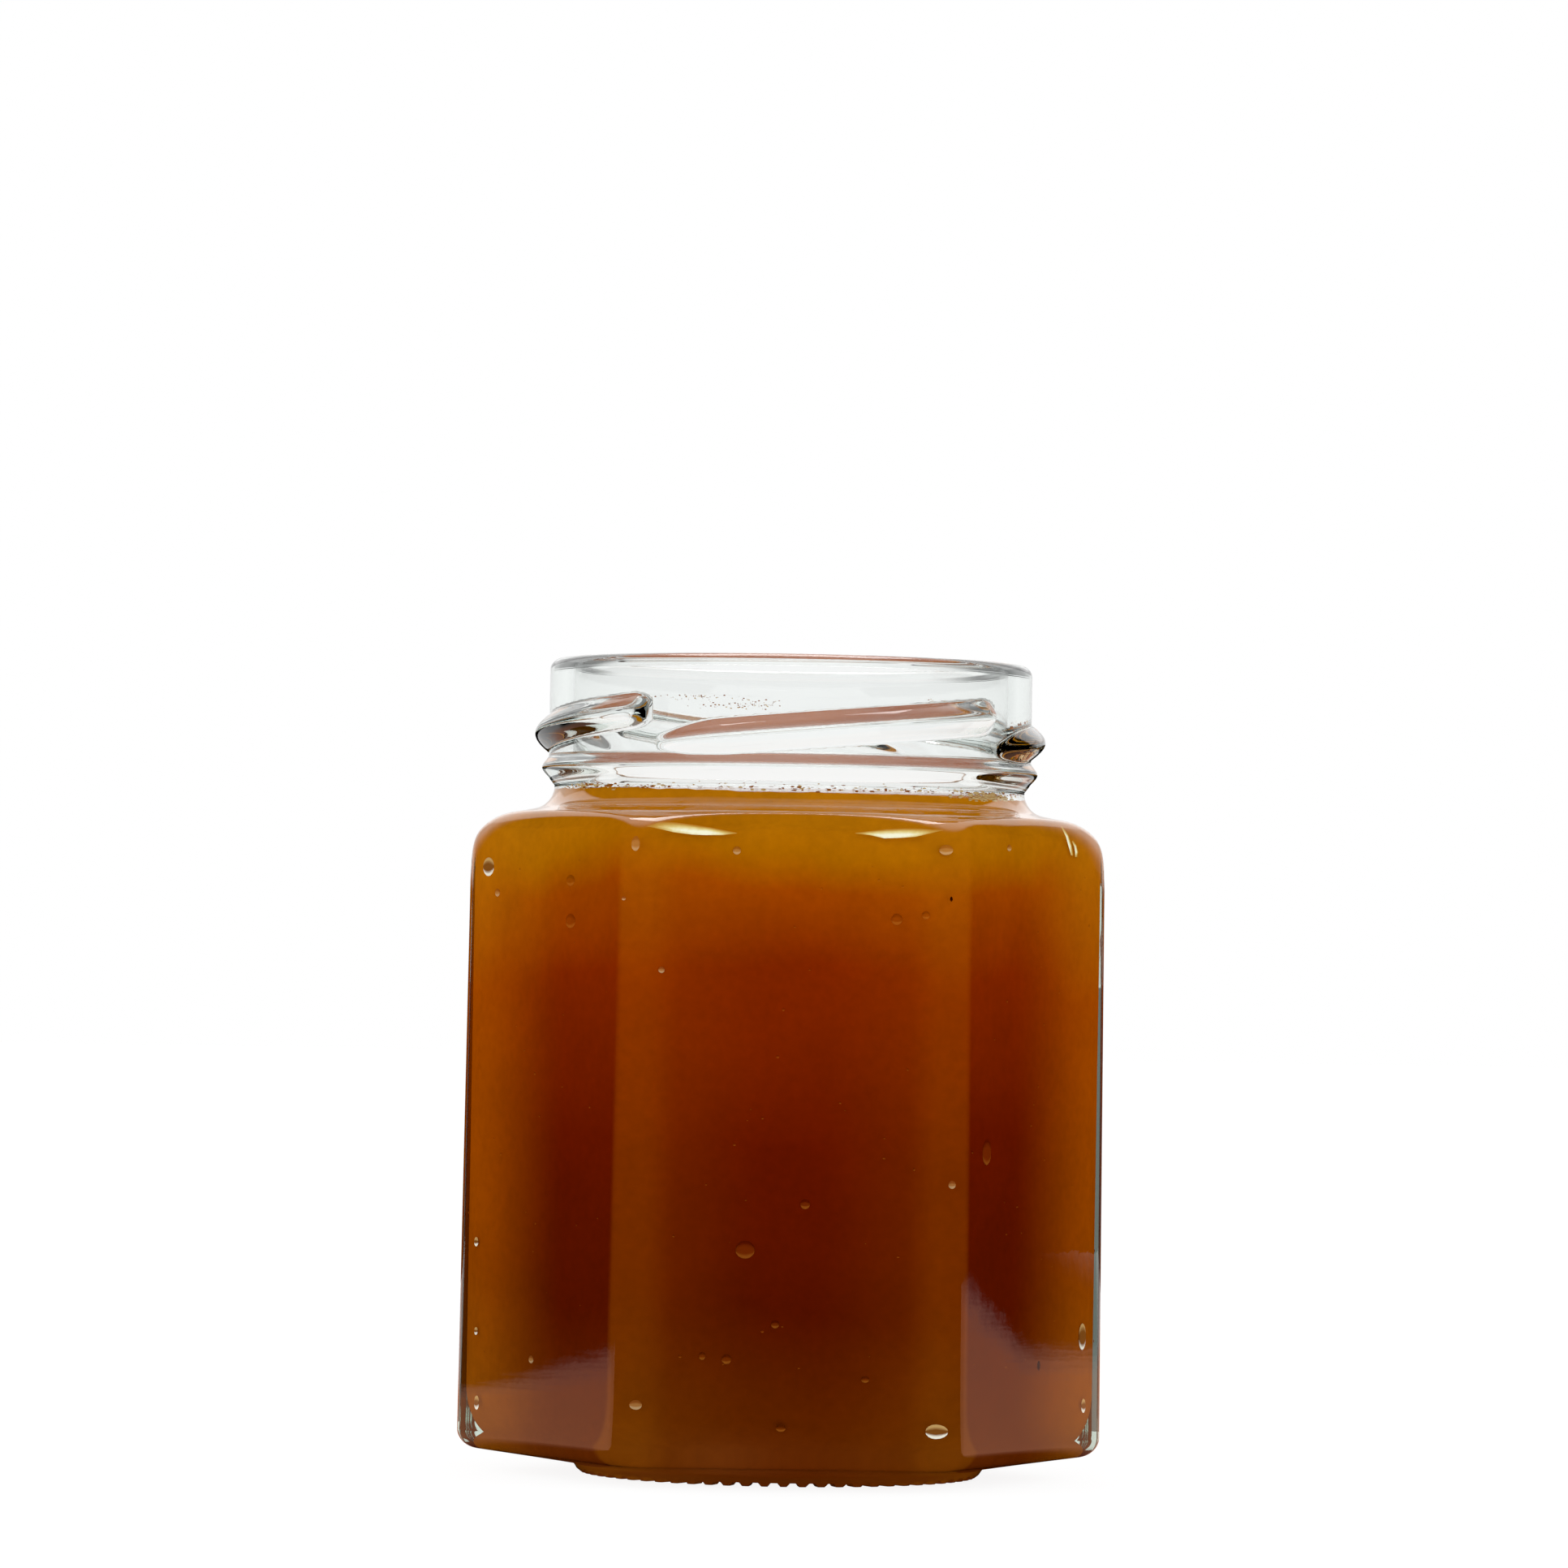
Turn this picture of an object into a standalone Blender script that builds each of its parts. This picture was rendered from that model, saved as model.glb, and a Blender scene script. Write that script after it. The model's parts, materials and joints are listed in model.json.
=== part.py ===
"""A hexagonal glass jar with a twist-off neck, open, filled with an amber preserve.

Metres, +Z up. The origin is at the middle of the foot, on the surface that the jar stands on, and one
flat face looks along -Y. The jar is one solid of glass and its contents are another.
"""

import math
from collections import namedtuple

import bmesh
import bpy
from mathutils import Matrix, Vector

MM = 0.001

# Driving dimensions of the glass, outside
HEIGHT = 91.4 * MM
FLAT_AT_HEEL = 31.8 * MM  # from the axis to a flat face
FLAT_AT_SHOULDER = 31.45 * MM
CORNER_RADIUS = 3.5 * MM
HEEL_RADIUS = 2.2 * MM
HEEL_Z = 4.6 * MM
SHOULDER_CENTRE = (30.0 * MM, 67.7 * MM)  # distance from the axis, and height
SHOULDER_RADIUS = 6.4 * MM
SHOULDER_EDGE = 1.2 * MM  # how softly the turned shoulder runs into the flat faces
ROOT_CENTRE = (29.2 * MM, 77.1 * MM)
ROOT_RADIUS = 2.7 * MM
NECK_RADIUS = 27.2 * MM
BEAD_Z = 79.1 * MM
BEAD_HEIGHT = 0.75 * MM
BEAD_HALF_WIDTH = 1.35 * MM
BEAD_STEP_IN = 0.2 * MM  # how much narrower the neck is below the bead
RIM_OUTER_ROUND = 1.3 * MM
RIM_INNER_ROUND = 0.9 * MM

# Driving dimensions of the glass, inside
CAVITY_FLAT = 29.8 * MM
CAVITY_CORNER_RADIUS = 3.6 * MM
CAVITY_CORNER_AT_FLOOR = 11.5 * MM
CAVITY_HEEL_RADIUS = 5.5 * MM
FLOOR_Z = 3.9 * MM
FLOOR_CROWN = 0.5 * MM
SHOULDER_WALL = 2.1 * MM
BORE_RADIUS = 24.5 * MM

# The round foot and the bars that it stands on
FOOT_RADIUS = 22.9 * MM
FOOT_TOP_Z = 1.2 * MM
FOOT_ROUND = 0.3 * MM
FOOT_INNER_RADIUS = 19.3 * MM
PUSH_UP_Z = 1.7 * MM
BAR_COUNT = 66
BAR_DEPTH = 0.45 * MM
BAR_SUNK = 0.25 * MM  # how far a bar reaches into the foot
BAR_REACH = (19.8 * MM, 22.7 * MM)
BAR_WIDTH = 1.3 * MM
BAR_TIP_WIDTH = 0.7 * MM
BAR_END_SLOPE = 0.7 * MM  # how much shorter a bar is at its tip

# The four thread lugs
LUG_COUNT = 4
LUG_START = math.radians(-33.7)  # of the front lug, from -Y towards +X
LUG_TURN = math.radians(87.0)
LUG_START_Z = 81.5 * MM
LUG_END_Z = 85.2 * MM
LUG_HEIGHT = 1.6 * MM
LUG_HALF_WIDTH = 1.95 * MM
LUG_SUNK = 0.5 * MM  # how far a lug reaches into the neck
LUG_LEAST = 0.12  # height of a lug at its very ends, as a share of the full height
LUG_TIP_WIDTH = 0.35  # width there, as a share of the full width
LUG_TAPER = math.radians(16.0)  # the low end runs out to a point
LUG_ROUNDING = math.radians(5.0)  # the high end is rounded
LUG_SECTIONS = 15
LUG_POINTS = 5

# The contents
FILL_Z = 76.0 * MM
CLEARANCE = 0.3 * MM
MENISCUS_HEIGHT = 0.3 * MM
MENISCUS_WIDTH = 1.6 * MM

SIDES = 6
FACE_ANGLE = 2 * math.pi / SIDES
FRONT = -math.pi / 2
POINTS_PER_SIDE = 10
SMOOTH_ANGLE = math.radians(40)

# A level ring of the jar: a hexagon of this flat and corner, cut back to the turned radius.
# crowd is 1 where the points crowd to the corners and 0 where they are evenly spaced.
Ring = namedtuple("Ring", "flat corner turned z crowd")


def arc(centre, radius, first, last, steps):
    """Points along an arc, as (distance from the axis, height). The angles are in degrees."""
    points = []
    for step in range(steps + 1):
        angle = math.radians(first + (last - first) * step / steps)
        points.append((centre[0] + radius * math.cos(angle), centre[1] + radius * math.sin(angle)))
    return points


def turned(points, crowd=0.0):
    """Level rings of a round shape."""
    return [Ring(math.inf, 0.0, radius, z, crowd) for radius, z in points]


def flat_sided(points, corner):
    """Level rings of the hexagon, whose flat faces are at the points' distances."""
    return [Ring(flat, corner, math.inf, z, 1.0) for flat, z in points]


def soft_min(a, b, width):
    """The smaller of two radii, blended where they are within width of each other."""
    overlap = max(width - abs(a - b), 0.0) / width
    return min(a, b) - overlap * overlap * width / 4


def hexagon_radius(off_face, flat, corner):
    """The radius of a hexagon with round corners, at an angle from the nearest face's normal."""
    corner_centre = (flat - corner) / math.cos(FACE_ANGLE / 2)
    arc_starts = math.atan2((flat - corner) * math.tan(FACE_ANGLE / 2), flat)
    if abs(off_face) <= arc_starts:
        return flat / math.cos(off_face)
    off_corner = FACE_ANGLE / 2 - abs(off_face)
    across = corner_centre * math.sin(off_corner)
    return corner_centre * math.cos(off_corner) + math.sqrt(corner**2 - across**2)


def ring_radius(off_face, ring):
    """The ring's radius at an angle from the nearest face's normal."""
    if math.isinf(ring.flat):
        return ring.turned
    radius = hexagon_radius(off_face, ring.flat, ring.corner)
    if math.isinf(ring.turned):
        return radius
    return soft_min(radius, ring.turned, SHOULDER_EDGE)


def crowded(off_face):
    """Moves an evenly spaced angle towards the corners, so that the round corners get half of the points."""
    half = FACE_ANGLE / 2
    arc_starts = math.atan2((FLAT_AT_HEEL - CORNER_RADIUS) * math.tan(half), FLAT_AT_HEEL)
    split = half * 3 / 5
    if abs(off_face) <= split:
        moved = abs(off_face) / split * arc_starts
    else:
        moved = arc_starts + (abs(off_face) - split) / (half - split) * (half - arc_starts)
    return math.copysign(moved, off_face)


def ring_points(ring):
    """The ring's points in order round the axis."""
    points = []
    for side in range(SIDES):
        for step in range(POINTS_PER_SIDE):
            even = (step / POINTS_PER_SIDE - 0.5) * FACE_ANGLE
            off_face = even + ring.crowd * (crowded(even) - even)
            radius = ring_radius(off_face, ring)
            angle = FRONT + side * FACE_ANGLE + off_face
            points.append(Vector((radius * math.cos(angle), radius * math.sin(angle), ring.z)))
    return points


def loft(bm, sections):
    """Skins closed sections of points, each joined to the next point for point, and closes both ends."""
    rows = [[bm.verts.new(point) for point in section] for section in sections]
    for row, following in zip(rows, rows[1:]):
        for i in range(len(row)):
            bm.faces.new((row[i - 1], row[i], following[i], following[i - 1]))
    for row in (rows[0], rows[-1]):
        bmesh.ops.contextual_create(bm, geom=row)


def flat_at(z):
    """The distance of the flat faces from the axis, which grows a little towards the heel."""
    down = (SHOULDER_CENTRE[1] - z) / (SHOULDER_CENTRE[1] - HEEL_Z)
    return FLAT_AT_SHOULDER + (FLAT_AT_HEEL - FLAT_AT_SHOULDER) * down


def foot_rings():
    """The underside, from its middle out to the foot and the sloping ring round it."""
    points = []
    for share in (0.5, 0.85, 1.0):
        hollow = (PUSH_UP_Z - BAR_DEPTH) * (1 - share**4)
        points.append((FOOT_INNER_RADIUS * share, BAR_DEPTH + hollow))
    points.append((BAR_REACH[1], BAR_DEPTH))
    points.append((FOOT_RADIUS, BAR_DEPTH + FOOT_ROUND))
    return turned(points) + turned([(FOOT_RADIUS + FOOT_ROUND, FOOT_TOP_Z)], crowd=0.5)


def side_rings():
    """The hexagonal sides, from the heel up to the shoulder's edge."""
    heel = arc((FLAT_AT_HEEL - HEEL_RADIUS, HEEL_Z), HEEL_RADIUS, -78, 0, 4)
    return flat_sided(heel, CORNER_RADIUS)


def shoulder_rings():
    """The turned shoulder, cut by the flat faces, and the fillet up to the neck."""
    rings = []
    for radius, z in arc(SHOULDER_CENTRE, SHOULDER_RADIUS, 8, 84, 8):
        rings.append(Ring(flat_at(z), CORNER_RADIUS, radius, z, 1.0))
    root = arc(ROOT_CENTRE, ROOT_RADIUS, 255, 180, 4)
    return rings + turned(root[:1], crowd=0.6) + turned(root[1:])


def bead_rings():
    """The bead below the thread."""
    points = []
    for step in range(7):
        along = -1 + step / 3
        swell = BEAD_HEIGHT * math.cos(along * math.pi / 2) ** 2
        step_in = BEAD_STEP_IN * max(-along, 0.0)
        points.append((NECK_RADIUS - step_in + swell, BEAD_Z + along * BEAD_HALF_WIDTH))
    return turned(points)


def rim_rings():
    """The round rim, over its top and into the bore."""
    outer_centre = (NECK_RADIUS - RIM_OUTER_ROUND, HEIGHT - RIM_OUTER_ROUND)
    inner_centre = (BORE_RADIUS + RIM_INNER_ROUND, HEIGHT - RIM_INNER_ROUND)
    outer = arc(outer_centre, RIM_OUTER_ROUND, 0, 90, 3)
    inner = arc(inner_centre, RIM_INNER_ROUND, 90, 180, 3)
    return turned(outer + inner)


def cavity_ring(flat, turned_radius, z, inset):
    """A ring of the inside, whose corners are rounder towards the floor."""
    up = min(max((z - FLOOR_Z) / (SHOULDER_CENTRE[1] - FLOOR_Z), 0.0), 1.0)
    corner = CAVITY_CORNER_AT_FLOOR + (CAVITY_CORNER_RADIUS - CAVITY_CORNER_AT_FLOOR) * up
    return Ring(flat, corner - inset, turned_radius, z, up)


def cavity_rings(inset):
    """The inside below the bore, from the floor up, drawn in by inset."""
    flat = CAVITY_FLAT - inset
    floor = FLOOR_Z + inset
    heel_radius = CAVITY_HEEL_RADIUS - inset
    level = flat - heel_radius
    rings = turned([(level / 3, floor + FLOOR_CROWN), (level * 5 / 6, floor + FLOOR_CROWN / 4)])
    for distance, z in arc((level, floor + heel_radius), heel_radius, -80, 0, 4):
        rings.append(cavity_ring(distance, math.inf, z, inset))
    dome_radius = SHOULDER_RADIUS - SHOULDER_WALL - inset
    for radius, z in arc(SHOULDER_CENTRE, dome_radius, 8, 84, 5):
        rings.append(cavity_ring(flat, radius, z, inset))
    root_radius = ROOT_CENTRE[0] - BORE_RADIUS + inset
    root = arc(ROOT_CENTRE, root_radius, 255, 180, 4)
    return rings + turned(root[:1], crowd=0.6) + turned(root[1:])


def glass_rings():
    """Every ring of the jar's one skin, from under the foot, up the outside and down the inside."""
    outside = foot_rings() + side_rings() + shoulder_rings() + bead_rings() + rim_rings()
    return outside + cavity_rings(0.0)[::-1]


def root_bore(z, inset):
    """The radius of the inside where it curves in to the neck, drawn in by inset."""
    root_radius = ROOT_CENTRE[0] - BORE_RADIUS + inset
    return ROOT_CENTRE[0] - math.sqrt(root_radius**2 - (ROOT_CENTRE[1] - z) ** 2)


def preserve_rings():
    """The contents: the cavity less the clearance, up to a level top with a low meniscus."""
    brim = FILL_Z + MENISCUS_HEIGHT
    rings = [ring for ring in cavity_rings(CLEARANCE) if ring.z < brim]
    edge = root_bore(brim, CLEARANCE)
    top = [
        (edge, brim),
        (edge - MENISCUS_WIDTH / 3, FILL_Z + MENISCUS_HEIGHT / 3),
        (edge - MENISCUS_WIDTH, FILL_Z),
    ]
    return rings + turned(top)


def lug_scale(turn):
    """How much of its full size a lug has, at an angle from its low end."""
    rising = min(turn / LUG_TAPER, 1.0)
    ending = min((LUG_TURN - turn) / LUG_ROUNDING, 1.0)
    rounded = math.sqrt(max(1 - (1 - ending) ** 2, 0.0))
    return max(math.sin(rising * math.pi / 2) * rounded, LUG_LEAST)


def lug_section(turn, first_angle):
    """One section across a lug: its round crest, and two points sunk in the neck."""
    scale = lug_scale(turn)
    middle_z = LUG_START_Z + (LUG_END_Z - LUG_START_Z) * turn / LUG_TURN
    half_width = LUG_HALF_WIDTH * (LUG_TIP_WIDTH + (1 - LUG_TIP_WIDTH) * scale)
    points = [(NECK_RADIUS - LUG_SUNK, middle_z - half_width)]
    for step in range(LUG_POINTS):
        across = -1 + 2 * step / (LUG_POINTS - 1)
        crest = LUG_HEIGHT * scale * math.cos(across * math.pi / 2)
        points.append((NECK_RADIUS - LUG_SUNK / 5 + crest, middle_z + across * half_width))
    points.append((NECK_RADIUS - LUG_SUNK, middle_z + half_width))
    angle = FRONT + first_angle + turn
    return [Vector((radius * math.cos(angle), radius * math.sin(angle), z)) for radius, z in points]


def add_lug(bm, first_angle):
    """Sweeps one thread lug up round the neck."""
    turns = [LUG_TURN * section / (LUG_SECTIONS - 1) for section in range(LUG_SECTIONS)]
    loft(bm, [lug_section(turn, first_angle) for turn in turns])


def add_bar(bm, angle):
    """Adds one bar under the foot, narrower and shorter where it touches the ground."""
    length = BAR_REACH[1] - BAR_REACH[0]
    height = BAR_DEPTH + BAR_SUNK
    verts = bmesh.ops.create_cube(bm, size=1.0)["verts"]
    for vert in verts:
        is_tip = vert.co.z < 0
        width = BAR_TIP_WIDTH if is_tip else BAR_WIDTH
        reach = length - BAR_END_SLOPE if is_tip else length
        vert.co.x *= reach
        vert.co.y *= width
        vert.co.z = (vert.co.z + 0.5) * height
    outwards = Matrix.Translation(Vector(((BAR_REACH[0] + BAR_REACH[1]) / 2, 0.0, 0.0)))
    bmesh.ops.transform(bm, matrix=Matrix.Rotation(angle, 4, "Z") @ outwards, verts=verts)


def make_material(name, colour, roughness, transmission):
    """A Principled material with the part's colour."""
    material = bpy.data.materials.new(name)
    material.use_nodes = True
    shader = material.node_tree.nodes["Principled BSDF"]
    shader.inputs["Base Color"].default_value = (*colour, 1.0)
    shader.inputs["Roughness"].default_value = roughness
    shader.inputs["Metallic"].default_value = 0.0
    shader.inputs["Transmission Weight"].default_value = transmission
    return material


def make_object(name, bm, material, collection):
    """Turns a bmesh into a named object, its faces outwards and shaded smooth."""
    bmesh.ops.recalc_face_normals(bm, faces=bm.faces)
    mesh = bpy.data.meshes.new(name)
    bm.to_mesh(mesh)
    bm.free()
    mesh.materials.append(material)
    mesh.shade_smooth()
    mesh.set_sharp_from_angle(angle=SMOOTH_ANGLE)
    item = bpy.data.objects.new(name, mesh)
    collection.objects.link(item)
    return item


def fuse(item, features):
    """Joins a collection of raised features to an object, and removes the collection."""
    union = item.modifiers.new("Raised features", "BOOLEAN")
    union.operation = "UNION"
    union.operand_type = "COLLECTION"
    union.collection = features
    union.solver = "EXACT"
    evaluated = item.evaluated_get(bpy.context.evaluated_depsgraph_get())
    fused = bpy.data.meshes.new_from_object(evaluated)
    item.modifiers.clear()
    item.data = fused
    fused.name = item.name
    for feature in list(features.objects):
        bpy.data.objects.remove(feature)
    bpy.data.collections.remove(features)


def build_glass(scene_collection, glass):
    """The jar: its lofted skin, with the thread lugs and the foot's bars fused on."""
    skin = bmesh.new()
    loft(skin, [ring_points(ring) for ring in glass_rings()])
    jar = make_object("glass_jar", skin, glass, scene_collection)
    features = bpy.data.collections.new("Raised features")
    scene_collection.children.link(features)
    for lug in range(LUG_COUNT):
        thread = bmesh.new()
        add_lug(thread, LUG_START + lug * 2 * math.pi / LUG_COUNT)
        make_object(f"lug_{lug}", thread, glass, features)
    bars = bmesh.new()
    for bar in range(BAR_COUNT):
        add_bar(bars, FRONT + 2 * math.pi * bar / BAR_COUNT)
    make_object("bars", bars, glass, features)
    fuse(jar, features)


def build_preserve(scene_collection, amber):
    """The contents, a solid up to the neck's root."""
    body = bmesh.new()
    loft(body, [ring_points(ring) for ring in preserve_rings()])
    make_object("amber_preserve", body, amber, scene_collection)


def main():
    for item in list(bpy.data.objects):
        bpy.data.objects.remove(item)
    scene_collection = bpy.context.scene.collection
    glass = make_material("clear glass", (0.93, 0.96, 0.95), 0.03, 1.0)
    amber = make_material("amber preserve", (0.42, 0.11, 0.005), 0.25, 0.0)
    build_glass(scene_collection, glass)
    build_preserve(scene_collection, amber)


main()
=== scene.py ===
"""Looks of a hexagonal glass jar, open and filled with an amber preserve.

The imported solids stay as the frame. This script replaces each by a finer mesh of the same form, adds
what is too small for the solids, and sets the finishes, the stage, the light and the camera.
"""

import json
import logging
import math
from dataclasses import dataclass, field
from enum import Enum
from typing import Iterable, Mapping

import bpy
import numpy as np
from mathutils import Matrix, Vector

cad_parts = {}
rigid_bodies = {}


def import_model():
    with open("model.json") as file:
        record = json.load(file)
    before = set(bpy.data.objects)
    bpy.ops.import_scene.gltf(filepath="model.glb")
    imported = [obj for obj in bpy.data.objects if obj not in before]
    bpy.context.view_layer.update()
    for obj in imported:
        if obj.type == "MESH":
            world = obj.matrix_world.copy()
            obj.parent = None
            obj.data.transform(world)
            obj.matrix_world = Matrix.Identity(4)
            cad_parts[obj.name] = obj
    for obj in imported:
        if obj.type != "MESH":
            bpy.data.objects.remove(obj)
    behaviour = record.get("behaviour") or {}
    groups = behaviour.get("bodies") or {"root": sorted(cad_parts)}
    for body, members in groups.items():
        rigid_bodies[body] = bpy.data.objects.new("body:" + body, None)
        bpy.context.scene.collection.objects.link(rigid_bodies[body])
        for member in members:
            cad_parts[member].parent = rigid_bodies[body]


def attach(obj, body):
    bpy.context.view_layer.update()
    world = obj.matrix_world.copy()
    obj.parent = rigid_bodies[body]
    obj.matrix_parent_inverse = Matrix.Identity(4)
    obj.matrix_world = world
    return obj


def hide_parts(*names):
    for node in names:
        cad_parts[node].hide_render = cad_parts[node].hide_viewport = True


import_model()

MM = 0.001
SIDES = 6
FACE_ANGLE = 2 * math.pi / SIDES
FRONT = -math.pi / 2
GLASS_INDEX = 1.52
MORE_OVER_FACES = 1.6  # how much softer the shoulder's edge is in the middle of a face than at a corner
EXTRA_ROW = 0.2 * MM  # how far past an arc a row keeps the straight wall's shading straight
HEEL_SWEEP = (-78, 0)  # degrees, from under the heel up to the flat faces
FLOOR_SWEEP = (-84, 0)  # the same inside
SHOULDER_SWEEP = (4, 84)  # from the side of the shoulder to near its top
ROOT_SWEEP = (255, 180)  # from the shoulder's top to the neck's wall
HALF_ROUND = 0.6  # how crowded the points are on the row between the hexagon and the round neck
log = logging.getLogger("jar")

Point2 = tuple[float, float]
Colour = tuple[float, float, float]
Stops = tuple[tuple[float, Colour], ...]
Socket = bpy.types.NodeSocket


@dataclass(frozen=True)
class Ring:
    """One level ring: a hexagon of this flat and corner, cut back to the turned radius.

    crowd is 1 where the points crowd to the corners and 0 where they are evenly spaced.
    """

    z: float
    turned: float = math.inf
    flat: float = math.inf
    corner: float = 0.0
    crowd: float = 0.0


@dataclass(frozen=True)
class JarSizes:
    """The jar's driving dimensions, the same as the solids', in metres."""

    height: float = 91.4 * MM
    flat_at_heel: float = 31.8 * MM
    flat_at_shoulder: float = 31.45 * MM
    corner_radius: float = 3.5 * MM
    heel_radius: float = 2.2 * MM
    heel_z: float = 4.6 * MM
    shoulder_centre: Point2 = (30.0 * MM, 67.7 * MM)
    shoulder_radius: float = 6.4 * MM
    shoulder_edge: float = 1.2 * MM
    root_centre: Point2 = (29.2 * MM, 77.1 * MM)
    root_radius: float = 2.7 * MM
    neck_radius: float = 27.2 * MM
    bead_z: float = 79.1 * MM
    bead_height: float = 0.75 * MM
    bead_half_width: float = 1.35 * MM
    bead_step_in: float = 0.2 * MM
    rim_outer_round: float = 1.3 * MM
    rim_inner_round: float = 0.9 * MM
    cavity_flat: float = 29.8 * MM
    cavity_corner: float = 3.6 * MM
    cavity_corner_at_floor: float = 11.5 * MM
    cavity_heel_radius: float = 5.5 * MM
    floor_z: float = 3.9 * MM
    floor_crown: float = 0.5 * MM
    shoulder_wall: float = 2.1 * MM
    bore_radius: float = 24.5 * MM
    foot_radius: float = 22.9 * MM
    foot_top_z: float = 1.2 * MM
    foot_round: float = 0.3 * MM
    foot_inner_radius: float = 19.3 * MM
    push_up_z: float = 1.7 * MM
    bar_count: int = 66
    bar_depth: float = 0.45 * MM
    bar_reach: Point2 = (19.8 * MM, 22.7 * MM)
    bar_start: float = 0.3 * MM  # how far to each side of its reach a bar rises
    bar_end: Point2 = (0.6 * MM, 0.1 * MM)  # how far before and past its reach a bar fades
    bar_flank: Point2 = (-0.7, 0.6)  # where on the wave round the foot a bar rises
    lug_count: int = 4
    lug_start: float = math.radians(-33.7)
    lug_turn: float = math.radians(87.0)
    lug_start_z: float = 81.5 * MM
    lug_end_z: float = 85.2 * MM
    lug_height: float = 1.6 * MM
    lug_half_width: float = 1.95 * MM
    lug_narrowest: float = 0.35  # the share of that width at a lug's ends
    lug_taper: float = math.radians(16.0)
    lug_rounding: float = math.radians(5.0)
    fill_z: float = 76.0 * MM

    def flat_at(self, z: float) -> float:
        """The distance of the flat faces from the axis at a height."""
        down = (self.shoulder_centre[1] - z) / (self.shoulder_centre[1] - self.heel_z)
        return self.flat_at_shoulder + (self.flat_at_heel - self.flat_at_shoulder) * down

    def cavity_corner_at(self, z: float) -> float:
        """The inside's corner radius at a height."""
        up = min(max((z - self.floor_z) / (self.shoulder_centre[1] - self.floor_z), 0.0), 1.0)
        return self.cavity_corner_at_floor + (self.cavity_corner - self.cavity_corner_at_floor) * up

    def root_bore(self, z: np.ndarray, inset: float) -> np.ndarray:
        """The radius of the inside where it curves in to the neck, drawn in by inset."""
        root_radius = self.root_centre[0] - self.bore_radius + inset
        below = np.maximum(self.root_centre[1] - z, 0.0)
        return self.root_centre[0] - np.sqrt(root_radius**2 - below**2)


def arc(centre: Point2, radius: float, first: float, last: float, steps: int) -> list[Point2]:
    """Points along an arc.

    Args:
        centre: The arc's centre, as distance from the axis and height.
        radius: Its radius.
        first: The angle that it starts at, in degrees.
        last: The angle that it ends at, in degrees.
        steps: How many stretches it has.

    Returns:
        The points, as distance from the axis and height.
    """
    angles = np.radians(np.linspace(first, last, steps + 1))
    return [(centre[0] + radius * math.cos(a), centre[1] + radius * math.sin(a)) for a in angles]


def between(a: Point2, b: Point2, share: float) -> Point2:
    """A point on the way from one to another."""
    return a[0] + (b[0] - a[0]) * share, a[1] + (b[1] - a[1]) * share


def straight(start: Point2, end: Point2, steps: int) -> list[Point2]:
    """Points along a straight stretch, without its first point."""
    return [between(start, end, step / steps) for step in range(1, steps + 1)]


def turned(points: Iterable[Point2], crowd: float = 0.0) -> list[Ring]:
    """Level rings of a round shape."""
    return [Ring(z=z, turned=radius, crowd=crowd) for radius, z in points]


def smooth(value: np.ndarray, low: float, high: float) -> np.ndarray:
    """A smooth step from 0 at low to 1 at high."""
    share = np.clip((value - low) / (high - low), 0.0, 1.0)
    return share * share * (3 - 2 * share)


def soft_min(a: np.ndarray, b: np.ndarray, width: np.ndarray) -> np.ndarray:
    """The smaller of two radii, blended where they are within width of each other."""
    overlap = np.maximum(width - np.abs(a - b), 0.0) / width
    return np.minimum(a, b) - overlap * overlap * width / 4


def hexagon_radius(off_face: np.ndarray, flat: float, corner: float) -> np.ndarray:
    """The radius of a hexagon with round corners, at angles from the nearest face's normal."""
    half = FACE_ANGLE / 2
    corner_centre = (flat - corner) / math.cos(half)
    arc_starts = math.atan2((flat - corner) * math.tan(half), flat)
    off_corner = half - np.abs(off_face)
    across = np.minimum(corner_centre * np.sin(off_corner), corner)
    on_corner = corner_centre * np.cos(off_corner) + np.sqrt(corner**2 - across**2)
    return np.where(np.abs(off_face) <= arc_starts, flat / np.cos(off_face), on_corner)


@dataclass(frozen=True)
class RingAngles:
    """Where a ring's points lie round the axis."""

    per_side: int
    corner_share: float = 0.5  # of each face's points, how many go to its round corner
    flat: float = 31.6 * MM
    corner: float = 3.5 * MM

    def off_face(self, crowd: float) -> np.ndarray:
        """Angles from the nearest face's normal, in order round the axis."""
        half = FACE_ANGLE / 2
        even = (np.arange(self.per_side) / self.per_side - 0.5) * FACE_ANGLE
        split = half * (1 - self.corner_share)
        arc_starts = math.atan2((self.flat - self.corner) * math.tan(half), self.flat)
        inner = np.abs(even) / split * arc_starts
        outer = arc_starts + (np.abs(even) - split) / (half - split) * (half - arc_starts)
        crowded = np.sign(even) * np.where(np.abs(even) <= split, inner, outer)
        return np.tile(even + crowd * (crowded - even), SIDES)

    def round_axis(self, crowd: float) -> np.ndarray:
        """Angles from +X, in order round the axis."""
        sides = np.repeat(np.arange(SIDES), self.per_side) * FACE_ANGLE
        return FRONT + sides + self.off_face(crowd)


def ring_points(ring: Ring, angles: RingAngles, edge: float) -> np.ndarray:
    """The points of one ring, with this soft an edge between the turned radius and the flat faces."""
    off_face = angles.off_face(ring.crowd)
    if math.isinf(ring.flat):
        radius = np.full(off_face.shape, ring.turned)
    else:
        radius = hexagon_radius(off_face, ring.flat, ring.corner)
        if not math.isinf(ring.turned):
            softer = edge * (1 + MORE_OVER_FACES * np.cos(off_face * math.pi / FACE_ANGLE))
            radius = soft_min(radius, np.full(radius.shape, ring.turned), softer)
    around = angles.round_axis(ring.crowd)
    return np.stack([radius * np.cos(around), radius * np.sin(around), np.full(radius.shape, ring.z)], 1)


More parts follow.
